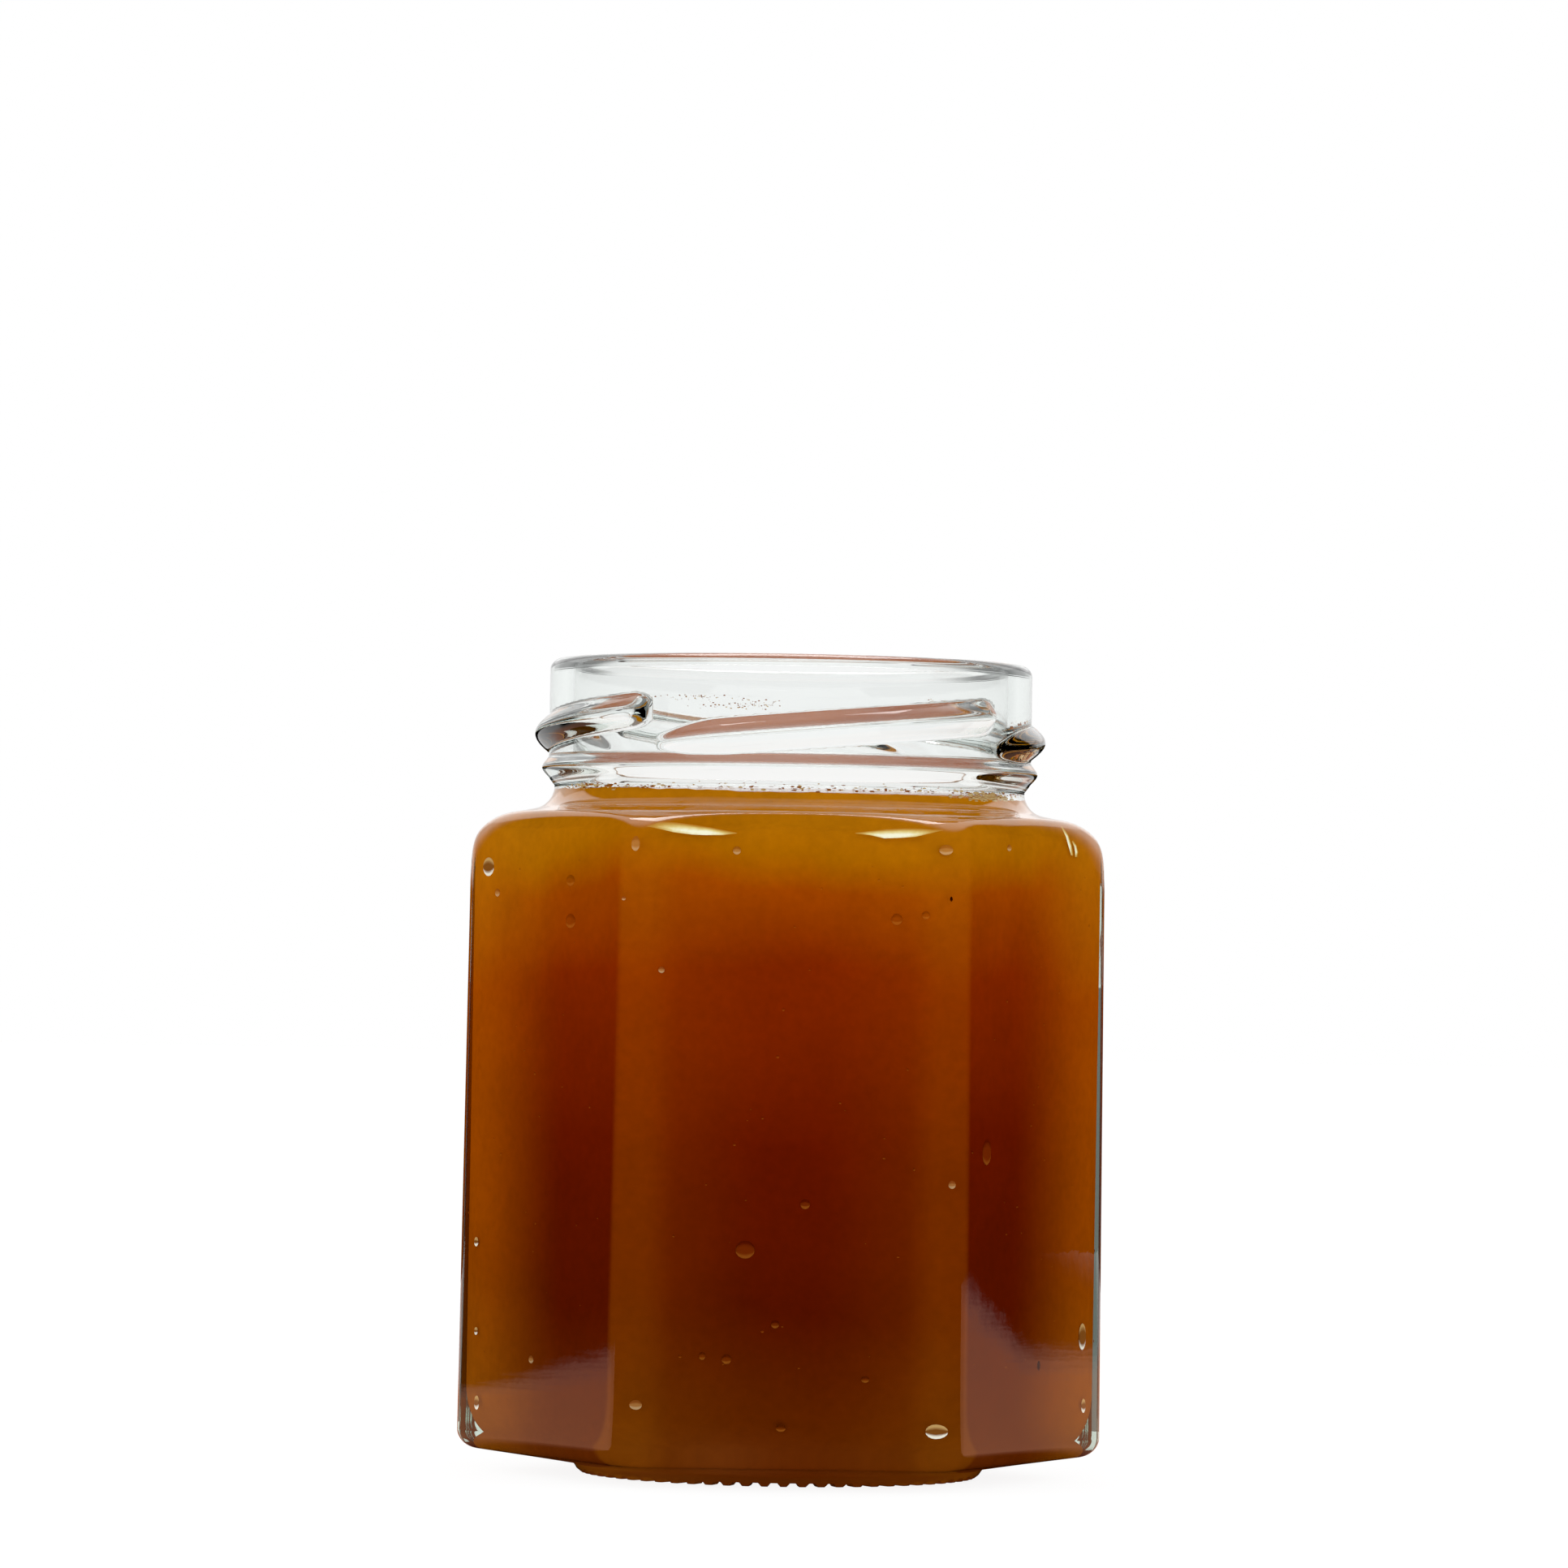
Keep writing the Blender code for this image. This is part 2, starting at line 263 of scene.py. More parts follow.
def linked(name: str, data: bpy.types.ID) -> bpy.types.Object:
    """A new object in the scene."""
    item = bpy.data.objects.new(name, data)
    bpy.context.scene.collection.objects.link(item)
    return item


def skin(name: str, rows: np.ndarray) -> bpy.types.Object:
    """Makes a smooth mesh object from closed rows of points, with its two ends closed."""
    count, around, _ = rows.shape
    index = np.arange(count * around).reshape(count, around)
    right = np.roll(index, -1, axis=1)
    quads = np.stack([index[:-1], right[:-1], right[1:], index[1:]], -1).reshape(-1, 4)
    points = rows.reshape(-1, 3)
    faces = [tuple(quad) for quad in quads.tolist()]
    for row, flip in ((0, True), (count - 1, False)):
        middle = len(points)
        points = np.vstack([points, rows[row].mean(axis=0)])
        for here, there in zip(index[row].tolist(), right[row].tolist()):
            faces.append((middle, there, here) if flip else (middle, here, there))
    mesh = bpy.data.meshes.new(name)
    mesh.from_pydata(points.tolist(), [], faces)
    mesh.validate()
    mesh.shade_smooth()
    return linked(name, mesh)


@dataclass
class NodeMaker:
    """Adds nodes to a material or a world and joins them."""

    tree: bpy.types.NodeTree

    def put(self, value: object, socket: Socket) -> None:
        """Joins an output to an input, or gives the input a value."""
        if isinstance(value, Socket):
            self.tree.links.new(value, socket)
        else:
            socket.default_value = value

    def add(self, kind: str, values: dict[str, object] | None = None, **settings: object) -> bpy.types.Node:
        """Adds a node.

        Args:
            kind: The node's type.
            values: A value or an output socket for each of its inputs that isn't left as it is.
            **settings: The node's own properties.

        Returns:
            The node.
        """
        node = self.tree.nodes.new(kind)
        for name, value in settings.items():
            setattr(node, name, value)
        for name, value in (values or {}).items():
            self.put(value, node.inputs[name])
        return node

    def math(self, operation: str, *values: object) -> Socket:
        """The result of a sum on numbers and sockets."""
        node = self.add("ShaderNodeMath", dict(enumerate(values)), operation=operation)
        return node.outputs[0]

    def times(self, *values: object) -> Socket:
        """The product of two numbers or sockets."""
        return self.math("MULTIPLY", *values)

    def rest(self, value: Socket) -> Socket:
        """What a share leaves of 1."""
        return self.math("SUBTRACT", 1.0, value)

    def step(self, value: Socket, low: float, high: float) -> Socket:
        """A smooth step from 0 at low to 1 at high."""
        values = {"Value": value, "From Min": low, "From Max": high}
        node = self.add("ShaderNodeMapRange", values, interpolation_type="SMOOTHSTEP")
        return node.outputs["Result"]

    def ramp(self, value: Socket, stops: Stops) -> Socket:
        """A colour that follows a number from 0 to 1."""
        node = self.add("ShaderNodeValToRGB", {"Fac": value})
        elements = node.color_ramp.elements
        while len(elements) < len(stops):
            elements.new(0.5)
        for element, (place, colour) in zip(elements, stops):
            element.position = place
            element.color = (*colour, 1.0)
        return node.outputs["Color"]

    def mix(self, share: object, a: object, b: object) -> Socket:
        """A mix of two colours."""
        node = self.add("ShaderNodeMix", data_type="RGBA")
        for number, value in ((0, share), (6, a), (7, b)):
            self.put(value, node.inputs[number])
        return node.outputs[2]

    def object_place(self) -> Socket:
        """The place of a point on the piece, in metres."""
        return self.add("ShaderNodeTexCoord").outputs["Object"]

    def parts(self, vector: Socket) -> Mapping[str, Socket]:
        """The X, Y and Z of a vector."""
        return self.add("ShaderNodeSeparateXYZ", {"Vector": vector}).outputs

    def noise(self, scale: float, detail: float = 2.0, roughness: float = 0.5) -> Socket:
        """Noise in the piece's own metres."""
        values = {"Vector": self.object_place(), "Scale": scale, "Detail": detail, "Roughness": roughness}
        return self.add("ShaderNodeTexNoise", values).outputs["Fac"]

    def sway(self, depth: float, scale: float, detail: float = 2.0, roughness: float = 0.5) -> Socket:
        """Noise about nought, at most half of depth each way."""
        return self.times(self.math("SUBTRACT", self.noise(scale, detail, roughness), 0.5), depth)

    def show(self, shader: Socket, kind: str) -> None:
        """Joins a shader to the material's output."""
        output = next(n for n in self.tree.nodes if n.type == "OUTPUT_MATERIAL")
        self.tree.links.new(shader, output.inputs[kind])


def srgb(red: float, green: float, blue: float) -> Colour:
    """A linear colour from screen values of 0 to 255."""
    shares = (red / 255, green / 255, blue / 255)
    return tuple(s / 12.92 if s <= 0.04045 else ((s + 0.055) / 1.055) ** 2.4 for s in shares)


def new_material(
    name: str, roughness: float, specular: float = 0.0
) -> tuple[bpy.types.Material, NodeMaker, bpy.types.Node]:
    """A material with a Principled shader, and what adds nodes to it."""
    material = bpy.data.materials.new(name)
    material.use_nodes = True
    shader = material.node_tree.nodes["Principled BSDF"]
    shader.inputs["Roughness"].default_value = roughness
    shader.inputs["Specular IOR Level"].default_value = specular
    return material, NodeMaker(material.node_tree), shader


@dataclass(frozen=True)
class ClearGlass:
    """Clear soda glass, with the slight unevenness of a moulded skin."""

    colour: Colour = (0.985, 0.982, 0.984)
    depth_colour: Colour = (0.45, 0.72, 0.58)
    depth_density: float = 22.0
    peels: tuple[Point2, ...] = ((230.0, 0.004 * MM), (1900.0, 0.0004 * MM))  # scale and depth

    def material(self) -> bpy.types.Material:
        """Makes the material."""
        material, nodes, shader = new_material("clear glass", 0.0, 0.5)
        shader.inputs["Base Color"].default_value = (*self.colour, 1.0)
        shader.inputs["IOR"].default_value = GLASS_INDEX
        shader.inputs["Transmission Weight"].default_value = 1.0
        normal = shader.inputs["Normal"]
        for scale, depth in self.peels:
            values = {"Height": nodes.noise(scale), "Distance": depth, "Strength": 1.0}
            bump = nodes.add("ShaderNodeBump", values)
            nodes.tree.links.new(bump.outputs["Normal"], normal)
            normal = bump.inputs["Normal"]
        path = nodes.add("ShaderNodeLightPath").outputs
        passing = nodes.math("MAXIMUM", path["Is Shadow Ray"], path["Is Diffuse Ray"])
        clear = nodes.add("ShaderNodeBsdfTransparent", {"Color": (*self.colour, 1.0)})
        mix = nodes.add("ShaderNodeMixShader", {0: passing})
        nodes.tree.links.new(shader.outputs[0], mix.inputs[1])
        nodes.tree.links.new(clear.outputs[0], mix.inputs[2])
        nodes.show(mix.outputs[0], "Surface")
        values = {"Color": (*self.depth_colour, 1.0), "Density": self.depth_density}
        nodes.show(nodes.add("ShaderNodeVolumeAbsorption", values).outputs[0], "Volume")
        return material


@dataclass(frozen=True)
class AmberPreserve:
    """A smooth amber preserve with painted light and shade: dark in the thick of it, painted lighter at the
    top and at the corners where light would come through.
    """

    # Painted light and shade by height: darkest low down, lighter up to the top where light comes in through
    # the neck and shoulder, and a little lighter at the floor, which is lit from below.
    core: Stops = (
        (0.0, srgb(122, 58, 18)),
        (0.055, srgb(100, 40, 4)),
        (0.09, srgb(93, 34, 0)),
        (0.26, srgb(84, 17, 0)),
        (0.50, srgb(100, 20, 0)),
        (0.73, srgb(130, 37, 0)),
        (0.85, srgb(158, 66, 0)),
        (0.91, srgb(175, 102, 0)),
        (1.0, srgb(190, 118, 10)),
    )
    # The same with more painted light, used towards the side corners and in the bands near the front
    # corners.
    lit: Stops = (
        (0.0, srgb(150, 85, 10)),
        (0.3, srgb(152, 70, 0)),
        (0.7, srgb(170, 76, 0)),
        (1.0, srgb(190, 118, 10)),
    )
    top: Stops = ((0.3, srgb(150, 70, 8)), (0.7, srgb(170, 90, 15)))
    top_z: float = 77.0 * MM
    # Across from the middle, where painted light through the thin side corners sets in and where it is full.
    backlit_corner: Point2 = (23.5 * MM, 36.5 * MM)
    # Painted light in bands near the front corners: a gentle rise across the front face, a stronger one
    # nearer its corners, and where the bands end.
    face_light_rise: Point2 = (2.0 * MM, 16.0 * MM)
    face_light_share: float = 0.14
    corner_light_rise: Point2 = (12.0 * MM, 16.6 * MM)
    corner_share: float = 0.2
    corner_light_end: Point2 = (18.0 * MM, 18.7 * MM)
    cloud: Point2 = (0.12, 45.0)  # how far the levels of colour sway, and the scale
    grains: tuple[Point2, ...] = ((0.32, 130.0), (0.32, 900.0))  # how much the value varies, and the scale

    def colour(self, nodes: NodeMaker) -> Socket:
        """The preserve's colour at each point of its side, with painted light and shade by height and across
        the faces.
        """
        place = nodes.parts(nodes.object_place())
        height = nodes.math("DIVIDE", place["Z"], self.top_z)
        level = nodes.math("ADD", height, nodes.sway(*self.cloud))
        core = nodes.ramp(level, self.core)
        lit = nodes.ramp(level, self.lit)
        across = nodes.math("ABSOLUTE", place["X"])
        # Painted light through the thin side corners.
        wide = nodes.step(across, *self.backlit_corner)
        # Painted light in bands near the front corners, up to where the side corners begin.
        face = nodes.times(nodes.step(across, *self.face_light_rise), self.face_light_share)
        corner = nodes.times(nodes.step(across, *self.corner_light_rise), self.corner_share)
        inside = nodes.rest(nodes.step(across, *self.corner_light_end))
        light_band = nodes.times(nodes.math("ADD", face, corner), inside)
        smooth_colour = nodes.mix(nodes.math("MAXIMUM", wide, light_band), core, lit)
        value = 1.0
        for depth, scale in self.grains:
            value = nodes.math("ADD", value, nodes.sway(depth, scale, 3.0, 0.6))
        values = {"Color": smooth_colour, "Value": value}
        return nodes.add("ShaderNodeHueSaturation", values).outputs["Color"]

    def material(self) -> bpy.types.Material:
        """Makes the material of the side, which the glass wets."""
        material, nodes, shader = new_material("amber preserve", 0.6)
        nodes.put(self.colour(nodes), shader.inputs["Base Color"])
        return material

    def surface(self) -> bpy.types.Material:
        """Makes the material of the open top, which is wet."""
        material, nodes, shader = new_material("amber surface", 0.1, 0.3)
        nodes.put(nodes.ramp(nodes.noise(60.0), self.top), shader.inputs["Base Color"])
        return material


@dataclass
class GlassJar:
    """The jar of clear glass, its thread lugs and the bars under its foot."""

    sizes: JarSizes
    angles: RingAngles = field(default_factory=lambda: RingAngles(per_side=66))

    def underside(self) -> list[Ring]:
        """From the middle of the foot out to the sloping ring round it."""
        s = self.sizes
        hollow = []
        for share in np.linspace(0.2, 1.0, 8):
            up = (s.push_up_z - s.bar_depth) * (1 - share**4)
            hollow.append((s.foot_inner_radius * share, s.bar_depth + up))
        flat = straight(hollow[-1], (s.bar_reach[1], s.bar_depth), 14)
        side = straight(flat[-1], (s.foot_radius, s.bar_depth + s.foot_round), 2)
        side += straight(side[-1], (s.foot_radius + s.foot_round, s.foot_top_z), 3)
        return turned(hollow + flat + side)

    def side(self) -> list[Ring]:
        """The slope round the foot, the heel and the flat faces."""
        s = self.sizes
        heel = arc((s.flat_at_heel - s.heel_radius, s.heel_z), s.heel_radius, *HEEL_SWEEP, 10)
        rings = [Ring(z=z, flat=flat, corner=s.corner_radius, crowd=1.0) for flat, z in heel]
        for z in np.linspace(s.heel_z, s.shoulder_centre[1] - 1.5 * MM, 12)[1:]:
            rings.append(Ring(z=z, flat=s.flat_at(z), corner=s.corner_radius, crowd=1.0))
        return rings

    def shoulder(self) -> list[Ring]:
        """The turned shoulder, cut by the flat faces, and the fillet up to the neck."""
        s = self.sizes
        rings = []
        for radius, z in arc(s.shoulder_centre, s.shoulder_radius, *SHOULDER_SWEEP, 40):
            rings.append(Ring(z=z, turned=radius, flat=s.flat_at(z), corner=s.corner_radius, crowd=1.0))
        root = arc(s.root_centre, s.root_radius, *ROOT_SWEEP, 12)
        return rings + turned(root[:1], HALF_ROUND) + turned(root[1:])

    def neck(self) -> list[Ring]:
        """The bead, the wall that carries the thread, and the rim."""
        s = self.sizes
        points = []
        for along in np.linspace(-1, 1, 15):
            swell = s.bead_height * math.cos(along * math.pi / 2) ** 1.5
            step_in = s.bead_step_in * max(-along, 0.0)
            points.append((s.neck_radius - step_in + swell, s.bead_z + along * s.bead_half_width))
        points += straight(points[-1], (s.neck_radius, s.lug_end_z + 2.2 * MM), 42)
        rim_z = s.height - s.rim_outer_round
        points += straight(points[-1], (s.neck_radius, rim_z - EXTRA_ROW), 2)
        points.append((s.neck_radius, rim_z))
        points += arc((s.neck_radius - s.rim_outer_round, rim_z), s.rim_outer_round, 0, 90, 10)[1:]
        inner_z = s.height - s.rim_inner_round
        points += arc((s.bore_radius + s.rim_inner_round, inner_z), s.rim_inner_round, 90, 180, 8)
        points.append((s.bore_radius, inner_z - EXTRA_ROW))
        return turned(points)

    def cavity(self, inset: float) -> list[Ring]:
        """The inside below the bore, from the floor up, drawn in by inset."""
        s = self.sizes
        flat = s.cavity_flat - inset
        floor, heel = s.floor_z + inset, s.cavity_heel_radius - inset
        level = flat - heel
        rings = turned([(level / 3, floor + s.floor_crown), (level * 5 / 6, floor + s.floor_crown / 4)])
        for radius, z in arc((level, floor + heel), heel, *FLOOR_SWEEP, 12):
            rings.append(Ring(z=z, flat=radius, corner=s.cavity_corner_at(z) - inset, crowd=1.0))
        for z in np.linspace(floor + heel, s.shoulder_centre[1], 8)[1:-1]:
            rings.append(Ring(z=z, flat=flat, corner=s.cavity_corner_at(z) - inset, crowd=1.0))
        dome = s.shoulder_radius - s.shoulder_wall - inset
        for radius, z in arc(s.shoulder_centre, dome, *SHOULDER_SWEEP, 16):
            corner = s.cavity_corner_at(z) - inset
            rings.append(Ring(z=z, turned=radius, flat=flat, corner=corner, crowd=1.0))
        root = arc(s.root_centre, s.root_centre[0] - s.bore_radius + inset, *ROOT_SWEEP, 10)
        root.append((root[-1][0], root[-1][1] + EXTRA_ROW))
        return rings + turned(root[:1], HALF_ROUND) + turned(root[1:])

    def lug_swell(self, around: np.ndarray, z: float) -> np.ndarray:
        """How far the thread lugs stand out of the neck, at angles from +X and a height."""
        s = self.sizes
        turn = np.mod(around - FRONT - s.lug_start, 2 * math.pi / s.lug_count)
        rising = np.clip(turn / s.lug_taper, 0.0, 1.0)
        ending = np.clip((s.lug_turn - turn) / s.lug_rounding, 0.0, 1.0)
        scale = np.sin(rising * math.pi / 2) * np.sqrt(np.maximum(1 - (1 - ending) ** 2, 0.0))
        middle = s.lug_start_z + (s.lug_end_z - s.lug_start_z) * turn / s.lug_turn
        half_width = s.lug_half_width * (s.lug_narrowest + (1 - s.lug_narrowest) * scale)
        across = np.clip((z - middle) / half_width, -1.0, 1.0)
        return s.lug_height * scale * np.cos(across * math.pi / 2)

    def bar_depth(self, radius: float, around: np.ndarray) -> np.ndarray:
        """How far the bars stand down under the foot."""
        s = self.sizes
        near, far = s.bar_reach
        place = np.array(radius)
        rising = smooth(place, near - s.bar_start, near + s.bar_start)
        ends = rising * (1 - smooth(place, far - s.bar_end[0], far + s.bar_end[1]))
        wave = np.cos((around - FRONT) * s.bar_count)
        return s.bar_depth * ends * smooth(wave, *s.bar_flank)

    def rows(self) -> np.ndarray:
        """Every row of the jar's one skin, from under the foot, up the outside and down the inside."""
        s = self.sizes
        outside = self.underside() + self.side() + self.shoulder() + self.neck()
        rings = outside + self.cavity(0.0)[::-1]
        rows = np.array([ring_points(ring, self.angles, s.shoulder_edge) for ring in rings])
        for row, ring in enumerate(rings):
            around = self.angles.round_axis(ring.crowd)
            if row < len(outside) and s.bead_z < ring.z and ring.turned == s.neck_radius:
                radius = ring.turned + self.lug_swell(around, ring.z)
                rows[row, :, 0] = radius * np.cos(around)
                rows[row, :, 1] = radius * np.sin(around)
            if ring.z == s.bar_depth:
                rows[row, :, 2] -= self.bar_depth(ring.turned, around)
        return rows

    def build(self, glass: bpy.types.Material) -> None:
        """Makes the jar in place of its solid."""
        jar = skin("jar_glass", self.rows())
        jar.data.materials.append(glass)
        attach(jar, "root")
        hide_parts("glass_jar")


@dataclass
class Preserve:
    """The contents, up to the neck's root."""

    jar: GlassJar
    into_wall: float = 0.12 * MM
    side_end: float = 0.9 * MM  # how far below the fill the side's last full row is
    edge_rise: float = 0.3 * MM  # how far the fill stands up along the glass
    edge_width: float = 1.0 * MM
    edge_foot: float = 0.05 * MM
    fading: Point2 = (0.6, 0.3)  # how much of its waves the next two rows have
    lean: float = 0.45 * MM
    lower: float = 0.3 * MM
    ripples: tuple[tuple[int, float, float], ...] = (
        (5, 0.10 * MM, 0.7),
        (13, 0.06 * MM, 2.1),
        (31, 0.05 * MM, 4.0),
        (67, 0.04 * MM, 1.3),
    )

    def rows(self) -> np.ndarray:
        """The rows of the body, from the middle of the floor to the middle of the open top."""
        s = self.jar.sizes
        rings = [ring for ring in self.jar.cavity(-self.into_wall) if ring.z < s.fill_z - self.side_end]
        brim_row = len(rings)
        brim = s.fill_z + self.edge_rise
        edge = float(s.root_bore(np.array(brim), -self.into_wall))
        top = [(edge, brim)]
        top += straight(top[-1], (edge - self.edge_width, s.fill_z + self.edge_foot), 3)
        top += straight(top[-1], (edge / 6, s.fill_z), 12)
        rings += turned(top)
        rows = np.array([ring_points(ring, self.jar.angles, s.shoulder_edge) for ring in rings])
        around = self.jar.angles.round_axis(0.0)
        waves = self.waves(around)
        z = brim + waves
        radius = s.root_bore(z, -self.into_wall)
        rows[brim_row] = np.stack([radius * np.cos(around), radius * np.sin(around), z], 1)
        for row, share in enumerate(self.fading, brim_row + 1):
            rows[row, :, 2] += share * waves
        return rows

    def waves(self, around: np.ndarray) -> np.ndarray:
        """How far the fill line stands above or below its level, at angles from +X."""
        total = -self.lower - self.lean * np.cos(around)
        for turns, height, shift in self.ripples:
            total = total + height * np.sin(turns * around + shift)
        return total

    def build(self, finish: AmberPreserve) -> None:
        """Makes the contents in place of their solid."""
        body = skin("preserve_body", self.rows())
        body.data.materials.append(finish.material())
        body.data.materials.append(finish.surface())
        lowest = self.jar.sizes.fill_z - self.edge_foot
        for face in body.data.polygons:
            if face.center.z > lowest and face.normal.z > 0.5:
                face.material_index = 1
        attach(body, "root")
        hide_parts("amber_preserve")


class Face(Enum):
    """A flat face in the photograph, by how far it is turned from the front one."""

    FRONT = 0
    RIGHT = 1
    LEFT = -1

    def normal(self) -> Vector:
        """The way that the face looks."""
        angle = FRONT + self.value * FACE_ANGLE
        return Vector((math.cos(angle), math.sin(angle), 0.0))


@dataclass(frozen=True)
class Mark:
    """A bubble or speck at the glass, by its place and half size in the photograph's pixels."""

    face: Face
    x: float
    y: float
    half_width: float
    half_height: float


@dataclass
class Dabs:
    """Many small flattened ellipsoids in one piece."""

    name: str
    around: int = 16
    rows: int = 8
    points: list[np.ndarray] = field(default_factory=list)
    faces: list[tuple[int, ...]] = field(default_factory=list)
    count: int = 0

    def add(self, centre: Vector, normal: Vector, half_sizes: tuple[float, float, float]) -> None:
        """Adds one: its middle, the level way that it looks, and half its width, height and depth."""
        tangent = np.array(Vector((0.0, 0.0, 1.0)).cross(normal).normalized())
        turn = np.linspace(0, 2 * math.pi, self.around, endpoint=False)
        axes = (tangent, np.array((0.0, 0.0, 1.0)), np.array(normal))
        for rise in np.linspace(-0.5, 0.5, self.rows + 2)[1:-1] * math.pi:
            out = math.cos(rise)
            shares = (out * np.cos(turn), out * np.sin(turn), np.full(turn.shape, math.sin(rise)))
            ring = np.array(centre) + np.zeros((self.around, 3))
            for axis, size, share in zip(axes, half_sizes, shares):
                ring = ring + np.outer(share * size, axis)
            self.points.append(ring)
        first = self.count
        for row in range(self.rows - 1):
            for step in range(self.around):
                a = first + row * self.around + step
                b = first + row * self.around + (step + 1) % self.around
                self.faces.append((a, b, b + self.around, a + self.around))
        last = first + (self.rows - 1) * self.around
        self.faces.append(tuple(range(first + self.around - 1, first - 1, -1)))
        self.faces.append(tuple(range(last, last + self.around)))
        self.count += self.rows * self.around

    def build(self, material: bpy.types.Material) -> None:
        """Makes the piece."""
        mesh = bpy.data.meshes.new(self.name)
        mesh.from_pydata(np.vstack(self.points).tolist(), [], self.faces)
        mesh.shade_smooth()
        mesh.materials.append(material)
        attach(linked(self.name, mesh), "root")


@dataclass(frozen=True)
class PaintedFacingLight:
    """A small thing with painted light and shade: its colour follows which way its skin looks, from below,
    over the middle, to above.
    """

    name: str
    below: Colour
    middle: Colour
    above: Colour
    cover: float = 1.0  # how far these colours hide the preserve's own at that place

    def material(self) -> bpy.types.Material:
        """Makes the material."""
        material, nodes, shader = new_material(self.name, 0.5)
        # Painted light and shade: the colour is picked by how far the skin faces up or down.
        normal = nodes.add("ShaderNodeNewGeometry").outputs["Normal"]
        up = nodes.parts(normal)["Z"]
        share = nodes.math("ADD", nodes.times(up, 1.3), 0.5)
        stops = ((0.1, self.below), (0.36, self.middle), (0.6, self.middle), (0.9, self.above))
        own = nodes.ramp(share, stops)
        colour = nodes.mix(self.cover, AmberPreserve().colour(nodes), own)
        nodes.put(colour, shader.inputs["Base Color"])
        return material


# Painted light and shade on real bubbles, specks and smears: all lighter where they face down than where
# they face up; the bright air's near white below is a painted highlight.
BRIGHT_AIR = PaintedFacingLight("bright air", srgb(255, 250, 235), srgb(125, 75, 28), srgb(205, 165, 105), 0.9)
PALE_AIR = PaintedFacingLight("pale air", srgb(225, 190, 140), srgb(190, 135, 75), srgb(150, 85, 35), 0.5)
FAINT_AIR = PaintedFacingLight("faint air", srgb(200, 120, 40), srgb(135, 60, 8), srgb(55, 10, 0), 0.3)
DARK_SPECK = PaintedFacingLight("dark speck", srgb(60, 12, 0), srgb(45, 8, 0), srgb(40, 6, 0))
SAND_SMEAR = PaintedFacingLight("sand smear", srgb(225, 205, 160), srgb(205, 180, 128), srgb(165, 120, 70))
AMBER_SMEAR = PaintedFacingLight("amber smear", srgb(170, 105, 45), srgb(150, 88, 30), srgb(115, 62, 22))

BRIGHT_MARKS = (
    Mark(Face.LEFT, 601, 1068, 7, 12),
    Mark(Face.RIGHT, 1333, 1647, 5, 17),
    Mark(Face.LEFT, 588, 1728, 3, 9),
    Mark(Face.RIGHT, 1334, 1732, 3, 9),
    Mark(Face.FRONT, 1153, 1764, 13, 9),
    Mark(Face.LEFT, 587, 1530, 2.5, 6),
    Mark(Face.LEFT, 587, 1640, 2, 5),
)
PALE_MARKS = (
    Mark(Face.FRONT, 784, 1731, 7, 6),
    Mark(Face.FRONT, 1165, 1048, 8, 6),
    Mark(Face.FRONT, 1171, 1460, 4, 5),
    Mark(Face.FRONT, 815, 1195, 4, 4),
    Mark(Face.LEFT, 655, 1675, 3, 5),
    Mark(Face.FRONT, 908, 1048, 5, 5),
    Mark(Face.RIGHT, 1245, 1045, 3, 4),
    Mark(Face.FRONT, 785, 1040, 5, 9),
    Mark(Face.LEFT, 612, 1100, 3, 5),
    Mark(Face.FRONT, 770, 1107, 3, 2.5),
)
FAINT_MARKS = (
    Mark(Face.LEFT, 702, 1085, 5, 7),
    Mark(Face.LEFT, 702, 1135, 6, 9),
    Mark(Face.FRONT, 1105, 1133, 7, 7),
    Mark(Face.FRONT, 1141, 1128, 5, 5),
    Mark(Face.FRONT, 918, 1540, 12, 11),
    Mark(Face.FRONT, 992, 1484, 6, 6),
    Mark(Face.FRONT, 955, 1632, 5, 5),
    Mark(Face.FRONT, 865, 1671, 4, 5),
    Mark(Face.FRONT, 895, 1675, 6, 6),
    Mark(Face.FRONT, 962, 1760, 6, 4),
    Mark(Face.RIGHT, 1216, 1420, 6, 16),
    Mark(Face.FRONT, 1066, 1700, 5, 4),
)
DARK_MARKS = (
    Mark(Face.RIGHT, 1279, 1683, 2, 6),
    Mark(Face.FRONT, 1171, 1108, 1.5, 3),
)


@dataclass(frozen=True)
class HighlightStreak:
    """A painted highlight at the shoulder, by its upper and lower edge in the photograph's pixels."""

    face: Face
    upper: tuple[Point2, ...]
    lower: tuple[Point2, ...]
    shine: tuple[float, ...]  # how bright it is, from the first point to the last

    def rows(self) -> list[tuple[float, list[Point2]]]:
        """Lines from the upper edge, which is soft, to the lower one, each with its own brightness."""
        lines = []
        for share, bright in HIGHLIGHT_LINES:
            line = [between(a, b, share) for a, b in zip(self.upper, self.lower)]
            lines.append((bright, line))
        return lines


HIGHLIGHT_LINES = ((0.0, 0.0), (0.25, 0.5), (0.7, 1.0), (1.0, 0.75))  # how far down, and how bright
# The painted highlight's colours, from the preserve's amber at its soft edge to near white where it is
# brightest.
HIGHLIGHT_COLOURS: Stops = (
    (0.0, srgb(174, 104, 6)),
    (0.35, srgb(205, 160, 75)),
    (0.6, srgb(235, 215, 145)),
    (0.85, srgb(255, 253, 225)),
)

